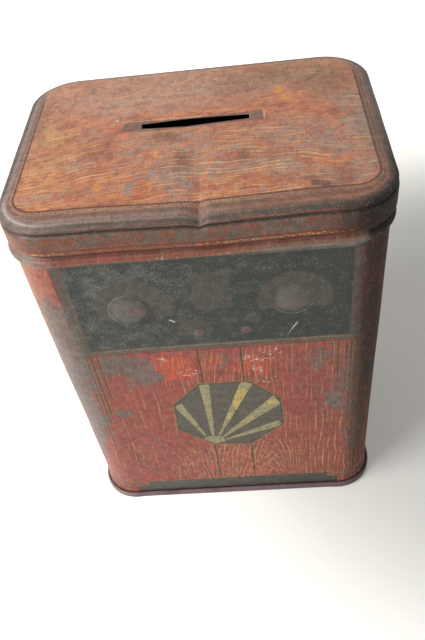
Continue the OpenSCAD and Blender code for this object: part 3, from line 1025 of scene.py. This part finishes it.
def body_wear(paint, u, v):
    """Rubbed and chipped places of the body's print, a browner band above the bead, a painted shadow line
    under the lid's skirt and painted shade on the right front corner and side.
    """
    cloud = paint.dust(4, 9, 13)
    amount = paint.patches(GREYED) + 0.3 * (cloud - 0.5) + 0.08 + 0.1 * abs(u).rise(60, 66)
    rubbed = worn(0.55 * paint.dust(70, 0.7, 1.2) + 0.45 * paint.dust(73, 2.2, 3.4), amount, 0.35)
    outside = 1 - paint.block(*PANEL[:3], 132.6, 0.2)
    blue = (0.45 + 0.15 * v.rise(75, 50)) * cloud
    tin = paint.over(WEAR_DARK, (WEAR_GREY, paint.dust(74, 1.2, 2.4)), (BLUE_TIN, blue))
    paint.coat(tin, rubbed * outside * 0.8)
    corner = abs(u).near(CORNER_RUN, 8, 6)
    wide = corner.most(u.rise(2, 22) * u.rise(60, 50))
    bead = v.near(BEAD_FOOT, 0.7, 0.5).most(wide * v.near(BEAD_CREST, 2, 0.5))
    bead = bead.most(corner * v.near(BEAD_HEAD, 3, 0.5)) * (0.75 + 0.25 * cloud)
    paint.coat(paint.over(WEAR_DARK, (GREY_TIN, 0.4 + 0.4 * cloud)), bead * 0.95)
    above = v.rise(134.6, 135.4) * (1 - 0.7 * corner)
    paint.coat(BROWN, above * (0.5 + 0.35 * cloud))
    # Painted shadow under the lid's skirt
    paint.coat(BLACK_BROWN, v.near(SHADE_LINE, 0.7, 0.6) * 0.85)
    # Painted shade on the right front corner and the right side, fading towards the back
    shaded = (u.rise(43, 50) * (0.66 + 0.34 * v.rise(10, 80))).most(u.rise(45.9, 47.4) * v.rise(88, 97))
    shaded = shaded * (u + 26 * (cloud - 0.5)).rise(100, 62) * (0.85 + 0.15 * cloud)
    paint.coat(paint.over(EDGE_GREY, (BLACK_BROWN, v.rise(40, 100))), shaded * 0.97)
    chips = worn(paint.dust(72, 1.3, 0.7), 0.5 * paint.patches(CHIPPED) - 0.1, 0.08)
    paint.coat(WHITE_CHIP, chips)


def body_material():
    """The body's print, on places that are the run round the wall and the height."""
    paint = Print(bpy.data.materials.new("printed_body"), RED_DEEP)
    u, v, inside = paint.mark("print")
    paint.lay(u, v)
    body_wood(paint, u, v)
    mouldings(paint, u, v)
    sunburst(paint)
    control_panel(paint, u, v)
    body_wear(paint, u, v)
    plinth(paint, u, v)
    mottled(paint)
    # The last number is where the right corner is painted in shade, which is also made rougher
    return finished(paint, inside, 0.38, 0.2, u.rise(43, 52) * u.rise(100, 62))


# Places of patches on the lid, each (x, y, across, up, strength)
# Pale pink patches; the large one at the back is a painted sheen
PINKED = [(-14, 26, 34, 12, 0.6), (-4, -4, 14, 12, 0.25), (30, -4, 12, 10, 0.2), (-40, 10, 14, 20, 0.15)]
GILDED = [
    (-46, 5, 6, 7, 0.8), (-42, -18, 12, 14, 0.5), (-48, 20, 6, 10, 0.35), (8, -30, 14, 6, 0.35),
    (30, -26, 12, 6, 0.25),
]
DULLED = [
    (30, 30, 22, 9, 0.5), (44, 22, 12, 14, 0.45), (52, 0, 5, 26, 0.5), (-52, 18, 4, 18, 0.35),
    (14, 20, 8, 6, 0.2), (20, 34, 30, 3, 0.3), (2, 13, 20, 3, 0.15),
]
GRAINED = [
    (-44, -4, 10, 26, 0.05), (-30, -18, 20, 10, 0.04), (14, -16, 24, 8, 0.09), (-46, 5, 5, 6, 0.1),
    (16, -4, 20, 4, 0.07), (8, -32, 20, 4, 0.08),
]
FLECKED = [
    (-22, -12, 22, 22, 0.22), (28, -14, 26, 20, 0.32), (-2, -16, 14, 20, 0.34), (-16, 22, 30, 10, 0.2),
    (48, -8, 6, 26, 0.4), (-18, -25, 2.4, 3, 0.8), (-44, -29, 8, 3, 0.3), (30, 26, 16, 8, 0.2),
]
STAINED = [
    (-8.6, -1, 5, 4, 0.7), (-3.6, -15, 3.4, 5, 0.7), (34, -32, 4, 3.4, 1), (-34, 31, 2, 2, 0.5),
    (-25, 30, 5, 2, 0.4), (12, 25, 6, 7, 0.5), (42, 24, 9, 7, 0.5), (40, -29, 6, 3, 0.6),
    (-50, 14, 3, 14, 0.5), (-30, -6, 5, 8, 0.4), (-20, 6, 6, 3, 0.35), (24, 30, 8, 3, 0.4),
]
SPOTTED = [
    (14.4, -15.6, 1.9, 3.8, 0.9), (-3.4, -13.6, 2.2, 2.6, 0.6), (-7.4, -1.4, 2.4, 2, 0.6),
    (-5, -18, 1.4, 2.6, 0.4), (33.6, -31.4, 1.6, 1.6, 1), (36, -32.8, 2, 1.5, 1), (11.6, 22, 2.6, 2.2, 0.4),
    (21, 14, 1.6, 2.4, 0.3),
]
FRESH = [
    (-27.4, -24.6, 1.3, 2.4, 0.8), (19.8, -12, 1.3, 0.5, 1), (-11.6, -10.2, 0.6, 2, 1),
    (27, 20.2, 2.2, 2.8, 1), (28.6, 16, 1.9, 3, 0.8), (31.4, 12.6, 1.8, 2, 0.6),
    (-22.6, -29.4, 2.4, 0.8, 0.5), (-26.8, 25.4, 1, 1.2, 0.4),
]
# Place of a painted highlight on the roll at the left front corner
HIGHLIGHT_CORNER = [(-54, -36, 16, 10, 1)]
EDGE_CHIPS = [(-41, -52, 9, 60, 1), (20, -52, 20, 60, 1)]


def lid_wood(paint, x, y, cloud):
    """Orange boards, dull towards the back right, and paler pink towards the back as a painted sheen. Gives
    the place across the grain and the dullness.
    """
    bend = 7 * paint.noise(x / 26, y / 16, 1, detail=1) + 1.2 * paint.noise(x / 6, y / 9, 2, detail=1)
    across = y + bend + 0.0022 * (x - 14) ** 2
    streak = paint.grit(across, x, 2, 1.1, 9)
    paint.coat(ORANGE, (0.2 * cloud + 0.3 * streak + 0.5 * paint.dust(10, 8, 6)).rise(0.2, 0.75))
    pinked = paint.patches(PINKED)
    # Paler pink towards the back: painted sheen
    paint.coat(PINK, pinked * 0.6 + 0.2 * y.rise(2, 22))
    paint.coat(PINK, worn(paint.dust(3, 1.1, 3.6), 0.2 + 0.6 * pinked, 0.6) * 0.6)
    paint.coat(TAN, worn(paint.grit(across, x, 9, 1, 5), paint.patches(GILDED), 0.6) * 0.5)
    paint.coat(RED_BROWN, worn(paint.dust(6, 0.6, 2), 0.22, 0.6) * 0.6)
    dull, patina = paint.patches(DULLED), paint.dust(5, 1.1, 2.2)
    paint.coat(OLIVE, worn(patina, 0.8 * dull + 0.06, 0.5) * 0.75)
    paint.coat(OLIVE_DARK, worn(1 - patina, 0.6 * dull, 0.4) * 0.75)
    return across, dull


def lid_wear(paint, edge, cloud):
    """Grey flecks that run from front to back, stains and small bright spots."""
    fine, grit = paint.dust(70, 0.42, 2), paint.dust(72, 0.8)
    top = edge.rise(-0.5, -2.5)
    amount = paint.patches(FLECKED) + 0.25 * (cloud - 0.5) + 0.14
    flecks = worn(0.6 * fine + 0.4 * paint.dust(71, 1.2, 3.6), amount, 0.35) * top
    paint.coat(paint.over(GREY_TIN, (BLUE_TIN, 0.6 * cloud)), flecks * 0.7)
    bare = worn(paint.dust(74, 0.3, 1.3), 0.2 + 0.4 * (cloud - 0.5), 0.4) * top
    paint.coat(PALE_TIN_AND_HIGHLIGHT, bare * 0.4)
    paint.coat(BROWN, worn(0.65 * paint.dust(73, 5, 4.5) + 0.35 * fine, 0.3, 0.8) * 0.45)
    paint.coat(BROWN, paint.patches(STAINED).least(1) * (0.5 + 0.5 * grit) * 0.85)
    spotted = paint.over(BROWN, (FOOT_DARK, paint.y.rise(-26, -30)))
    paint.coat(spotted, paint.marks(SPOTTED) * (0.4 + 0.6 * grit) * 0.8)
    paint.coat(ORANGE_SPOT, paint.marks(FRESH) * (0.5 + 0.5 * grit))


def lid_grain(paint, x, across, dull):
    """The printed grain: thin pale lines from side to side, in bundles."""
    more = paint.patches(GRAINED) - 0.12 * dull - 0.02 - 0.03 * across.rise(6, 16)
    paint.coat(OLD_GOLD, paint.grain(across, x, 0.9, 0.06, 15, more, 14) * 0.5)
    paint.coat(STRAW, paint.grain(across, x, 1.5, 0.12, 5, more - 0.04, 14) * 0.9)


# The border line on the top, and the rectangle and thin lines round the slot
BORDER_X = 51.5
BORDER_FRONT = -33.5
BORDER_R = 7.5
SLOT_BLOCK, SLOT_LINE, SLOT_TICK = (-22.7, 21, 3.6, 9), (-23, 2, 9.2, 9.5), (21.5, 3.4, 9.2)


def lid_lines(paint, x, y, edge):
    """The fine border line, the bands outside it and the plain block round the slot."""
    aside, front = abs(x) - (BORDER_X - BORDER_R), BORDER_FRONT + BORDER_R - y
    outer = (aside.most(0) ** 2 + front.most(0) ** 2) ** 0.5 + aside.most(front).least(0) - BORDER_R
    share = outer * (outer - edge - 0.9).most(1) ** -1
    flecks, streak = paint.dust(26, 0.5, 0.9), paint.grit(x + y, outer, 27, 8, 0.5)
    light = flecks * (0.9 - 0.4 * x.rise(-10, 40))
    tan = paint.over(BROWN, (TAN_GREY, light), (OLIVE_DARK, y.rise(-20, 10) * 0.6))
    paint.coat(tan, outer.rise(0.1, 0.4) * 0.85)
    right = x.rise(-5, 25)
    mauve = paint.over(
        MAUVE, (BROWN, 0.35 * flecks + 0.5 * right), (OLIVE_TIN, streak.rise(0.45, 0.15) * 0.7),
        (ORANGE_DULL, streak.rise(0.6, 0.9) * (0.2 + 0.5 * right)),
    )
    paint.coat(mauve, share.rise(0.33, 0.4) * 0.9)
    # A pale band on the crest of the roll: worn tin, painted lighter as a highlight
    pale = paint.over(PALE_TIN_AND_HIGHLIGHT, (ORANGE_DULL, 0.4 * flecks + 0.5 * right))
    paint.coat(pale, share.near(0.76, 0.08, 0.14) * (0.3 + 0.4 * flecks))
    paint.coat(MAUVE, paint.block(*SLOT_BLOCK) * 0.85)
    paint.coat(STRAW, paint.upright(*SLOT_TICK, 0.15).most(paint.block(*SLOT_LINE)) * 0.55)
    paint.coat(LINE_BROWN, abs(outer).rise(0.46, 0.2) * y.rise(35, 24) * 0.95)


# Distances along the sheet from the roll's start: the groove, the skirt, and two bands low on it
GROOVE_AT, SKIRT_AT, HEM_DARK, HEM_AT = 3.7, 4.2, 9.4, 10.1


def lid_roll(paint, edge, wall_x, wall_y, painted_shade):
    """Bands along the roll, the groove and the skirt, where hands and the shelf have rubbed. The pale crest
    is worn tin painted lighter as a highlight, brightest at the left front corner; the roll is painted darker
    towards the groove and the right as shade, and the right front corner is painted in shade.
    """
    along = wall_x + wall_y
    fine, streak, blotch, chip, speck, cloud = (
        paint.grit(along, edge, *size)
        for size in ((80, 0.8, 0.5), (81, 9, 0.4), (82, 1.4, 3.4), (83, 1.2, 0.5), (84, 1.1, 4), (85, 9, 7))
    )
    right = wall_x.rise(-20, 25)
    # corner is the painted highlight at the left front corner; the crest is pale worn tin, painted lighter as
    # a highlight
    corner = paint.patches(HIGHLIGHT_CORNER)
    light = paint.over(PALE_TIN_AND_HIGHLIGHT, (OLIVE_TIN, right), (HIGHLIGHT_WHITE, corner))
    paint.coat(light, edge.near(-0.8, 0.3, 0.7) * (0.3 + 0.5 * streak).most(0.85 * corner))
    rosy = worn(0.5 * fine + 0.5 * streak, 0.3 + 0.2 * edge.near(1.9, 0.5, 0.5), 0.4)
    # The roll's face: worn, darker towards the groove and to the right as painted shade, and lighter at the
    # left front corner as a painted highlight
    face = paint.over(
        WEAR_DARK, (DARK_TIN_AND_SHADE, 0.4 * streak + 0.6 * edge.rise(0.5, 2.6) + 0.3 * right),
        (PALE_TIN_AND_HIGHLIGHT, corner * edge.rise(1.4, -0.6) * 0.8), (ROSE, rosy * 0.75),
        (RED_BROWN, edge.near(0.7 + 1.2 * right, 0.3, 0.4) * (0.2 + 0.6 * right) * streak),
        (TAN_GREY, edge.near(2.9, 0.12, 0.2) * fine * 0.4),
    )
    paint.coat(face, edge.rise(-0.8, 0.1) * 0.92)
    skirt = edge.rise(SKIRT_AT, SKIRT_AT + 0.8)
    orange = worn(blotch, 0.32 + 0.3 * edge.rise(7.5, 9.5), 0.5)
    paint.coat(paint.over(SKIRT_BROWN, (SKIRT_ORANGE, orange)), skirt * 0.92)
    amount = 0.5 - 0.24 * edge.rise(8, 9.6) - 0.2 * wall_x.rise(-42, -50) - 0.08 * wall_x.rise(-20, -40)
    grey = worn(0.6 * speck + 0.4 * fine, amount + 0.4 * (cloud - 0.5), 0.3)
    tin = paint.over(WEAR_DARK, (WEAR_GREY, streak), (BLUE_TIN, 0.4 * right * fine))
    paint.coat(tin, skirt * grey * 0.85)
    paint.coat(UMBER, skirt * (0.06 + 0.08 * right + 0.5 * worn(fine, 0.24, 0.4)))
    paint.coat(BLACK_BROWN, skirt * edge.near(HEM_DARK, 0.3, 0.3) * (0.3 + 0.4 * blotch))
    # Painted shade at the right front corner
    paint.coat(BLACK_BROWN, painted_shade * 0.94)
    chips = worn(chip, 0.3 * paint.patches(EDGE_CHIPS), 0.1)
    paint.coat(YELLOW_CHIP, chips * edge.near(HEM_AT, 0.35, 0.3) * 0.9)
    paint.coat(LINE_BLACK, edge.near(GROOVE_AT, 0.4, 0.4) * 0.8)


def lid_material():
    """The lid's print, on places that run on over the roll and down the skirt."""
    paint = Print(bpy.data.materials.new("printed_lid"), ORANGE_RED)
    x, y, edge = paint.mark("print")
    wall_x, wall_y, inside = paint.mark("place")
    paint.lay(x, y)
    cloud = paint.dust(4, 12, 8)
    across, dull = lid_wood(paint, x, y, cloud)
    lid_wear(paint, edge, cloud)
    lid_grain(paint, x, across, dull)
    lid_lines(paint, x, y, edge)
    # Painted shade on the right front corner of the roll and skirt, which is also made rougher
    painted_shade = wall_x.rise(30, 48) * wall_y.rise(0, -28) * edge.rise(-2.5, 1.5)
    lid_roll(paint, edge, wall_x, wall_y, painted_shade)
    mottled(paint)
    paint.coat(WHITE_CHIP, paint.disc(-25, 10.5, 0.35))
    return finished(paint, inside, 0.36, 0.22, painted_shade)


def base_material():
    """Dark lacquer on the foot and the underside, scratched and rusted, and bare tin inside. The foot is
    painted lighter on its left as a highlight and darker on its right as shade.
    """
    paint = Paint(bpy.data.materials.new("base_lacquer"), FOOT_DARK)
    where = paint.node("ShaderNodeTexCoord")
    x, y, z = (part / MM for part in paint.parts(where.outputs["Object"]))
    facing_up = paint.parts(where.outputs["Normal"])[2].rise(0, 0.3)
    cloud = paint.noise(x / 9, y / 9, z / 9, detail=4)
    grit = paint.noise(x / 0.9, y / 0.9, z / 0.9, detail=4, roughness=0.6)
    paint.coat(FOOT_PURPLE, z.rise(0.3, 0.8) * (0.4 + 0.6 * cloud.rise(0.35, 0.6)))
    paint.coat(BLUE_TIN, (grit + 0.3 * cloud).rise(0.72, 0.8) * 0.7)
    # Painted highlight on the foot's left
    paint.coat(PALE_TIN_AND_HIGHLIGHT, x.rise(-40, -52) * z.rise(0.3, 0.8) * 0.7)
    # Painted shade on the foot's right
    paint.coat(UMBER, x.rise(36, 52) * 0.7)
    paint.coat(GREY_TIN, z.rise(0.9, 0.2) * grit.rise(0.4, 0.55) * 0.8)
    paint.coat(RUST, paint.noise(x / 4, y / 4, z / 4 + 9, detail=5).rise(0.6, 0.7) * 0.7)
    upper = facing_up * z.rise(FOOT_H + 0.3, FOOT_H + 0.5)
    paint.coat(bare_face(paint, x, y, 51), upper)
    return paint.finish(0.35 + 0.25 * cloud, grit * 0.05, 0.7 * upper)


# The studio, with its places and sizes in metres
FLOOR_HALF = 4
FLOOR = srgb(216, 215, 209)
FLOOR_GLOW = srgb(255, 253, 245)
FLOOR_LIFT = 0.16
FLOOR_NEAR = (0.13, 0.03)
FLOOR_FADE = (0.09, 0.24)
AMBIENT = 0.3
AIM = Vector((0, 0, 0.1))
KEY_PLACE, KEY_SIZE, KEY_SHARE = (-0.38, -0.22, 0.46), 0.3, 0.95
LENS, SENSOR = 38.09, 36
CAMERA_PLACE = (0.017393, -0.181849, 0.259015)
CAMERA_DEGREES = (42.7255, 6.0803, 0.0386)


def make_stage():
    """A pale floor that shows white to the camera and keeps the object's shadow."""
    mesh = bpy.data.meshes.new("floor")
    corners = [(x * FLOOR_HALF, y * FLOOR_HALF, 0) for x, y in ((-1, -1), (1, -1), (1, 1), (-1, 1))]
    mesh.from_pydata(corners, [], [(0, 1, 2, 3)])
    mesh.attributes.new("place", "FLOAT_VECTOR", "POINT").data.foreach_set("vector", sum(corners, ()))
    paint = Paint(bpy.data.materials.new("floor"))
    x, y = paint.mark("place")[:2]
    away = ((x - FLOOR_NEAR[0]) ** 2 + (y - FLOOR_NEAR[1]) ** 2) ** 0.5
    glow = paint.seen() * (FLOOR_LIFT + away.rise(*FLOOR_FADE))
    paint.shade({
        "Base Color": FLOOR, "Roughness": 0.9, "Emission Color": FLOOR_GLOW, "Emission Strength": glow,
    })
    mesh.materials.append(paint.owner)
    floor = added("floor", mesh)


def make_world():
    """White light from all round, weaker than the white that the camera sees."""
    world = bpy.data.worlds.new("studio")
    bpy.context.scene.world = world
    paint = Paint(world)
    background = paint.tree.nodes["Background"]
    background.inputs["Color"].default_value = (1, 1, 1, 1)
    paint.feed(background.inputs["Strength"], AMBIENT + (1 - AMBIENT) * paint.seen())


def make_lamp(name, place, size, share):
    """A square soft lamp that points at the box. At a share of 1, a white sheet at the box that
    faces the lamp renders white."""
    lamp = bpy.data.lights.new(name, "AREA")
    lamp.shape, lamp.size = "SQUARE", size
    place = Vector(place)
    aim = AIM - place
    lamp.energy = share * math.pi**2 * aim.length_squared
    piece = added(name, lamp)
    piece.location = place
    piece.rotation_euler = aim.to_track_quat("-Z", "Y").to_euler()


def make_camera():
    """The photo's camera: above the front, a little right of the middle, and tilted."""
    lens = bpy.data.cameras.new("camera")
    lens.lens, lens.sensor_width, lens.sensor_fit = LENS, SENSOR, "AUTO"
    lens.clip_start, lens.clip_end = 0.01, 20
    camera = added("camera", lens)
    camera.location = CAMERA_PLACE
    camera.rotation_euler = [math.radians(angle) for angle in CAMERA_DEGREES]
    bpy.context.scene.camera = camera


make_camera()
make_world()
make_stage()
make_lamp("key", KEY_PLACE, KEY_SIZE, KEY_SHARE)

body = make_body(body_material())
laid_out(body, "body", "body_wrap")
base = make_base(base_material())
laid_out(base, "body", "base_pan")
lid = make_lid(lid_material())
laid_out(lid, "lid", "lid")

bpy.context.scene.view_settings.view_transform = "Standard"
